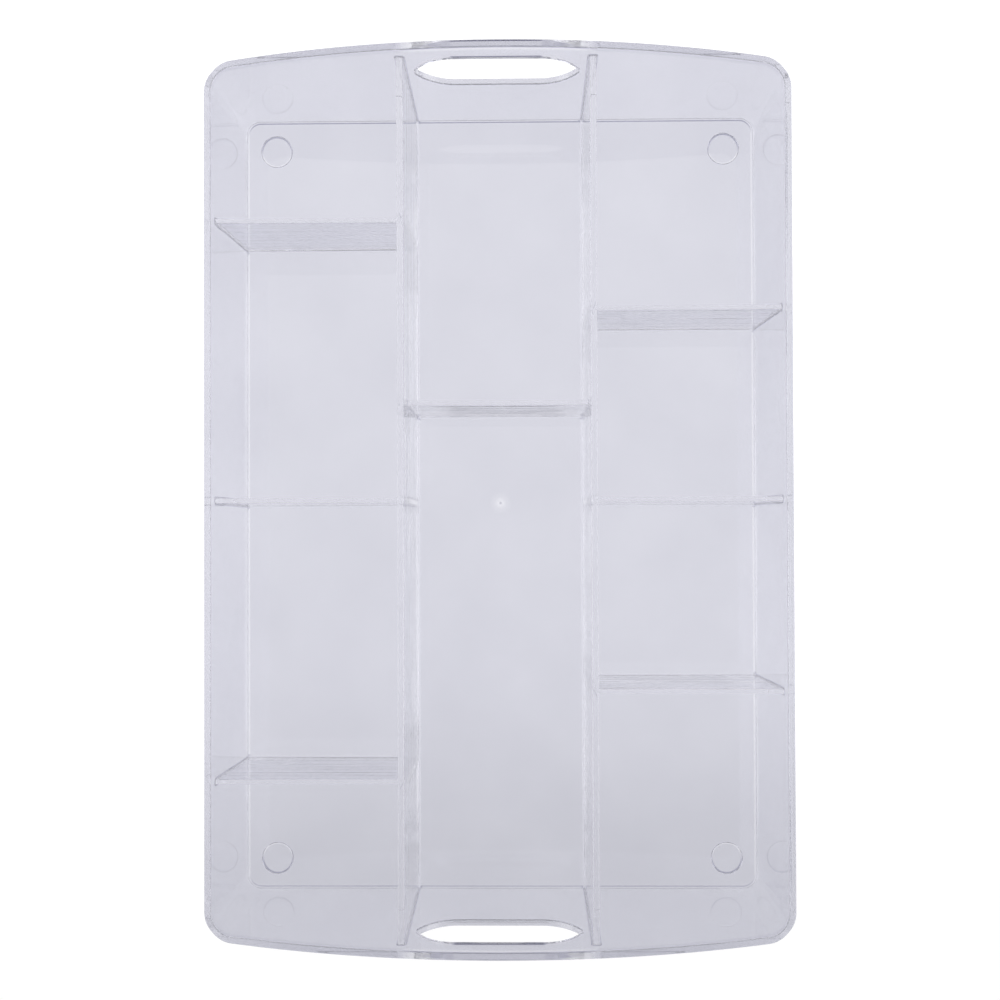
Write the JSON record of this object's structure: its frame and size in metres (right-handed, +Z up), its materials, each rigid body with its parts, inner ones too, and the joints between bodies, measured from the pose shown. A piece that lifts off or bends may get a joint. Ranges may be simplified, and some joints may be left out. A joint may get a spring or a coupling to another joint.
{
  "type": "parts sorting tray",
  "caption": "Clear open tray with fixed dividers, low rounded corners and an arched end wall with a hand slot at each end, for sorting small parts.",
  "frame": {"origin": "centre of the footprint, on the plane that the foot pads rest on", "axes": "+X across the tray to the right, +Y along the tray to the rear end wall, +Z up"},
  "size_m": [0.254, 0.381, 0.064],
  "materials": {
    "clear_polystyrene": "clear gloss"
  },
  "bodies": {
    "root": {"floor_panel": "clear_polystyrene", "left_side_wall": "clear_polystyrene", "right_side_wall": "clear_polystyrene", "rear_end_wall": "clear_polystyrene", "front_end_wall": "clear_polystyrene", "corner_rear_left": "clear_polystyrene", "corner_rear_right": "clear_polystyrene", "corner_front_left": "clear_polystyrene", "corner_front_right": "clear_polystyrene", "left_long_divider": "clear_polystyrene", "right_long_divider": "clear_polystyrene", "left_cross_divider_rear": "clear_polystyrene", "left_cross_divider_middle": "clear_polystyrene", "left_cross_divider_front": "clear_polystyrene", "centre_cross_divider": "clear_polystyrene", "right_cross_divider_rear": "clear_polystyrene", "right_cross_divider_middle": "clear_polystyrene", "right_cross_divider_front": "clear_polystyrene", "foot_rear_left": "clear_polystyrene", "foot_rear_right": "clear_polystyrene", "foot_front_left": "clear_polystyrene", "foot_front_right": "clear_polystyrene"}
  },
  "joints": []
}
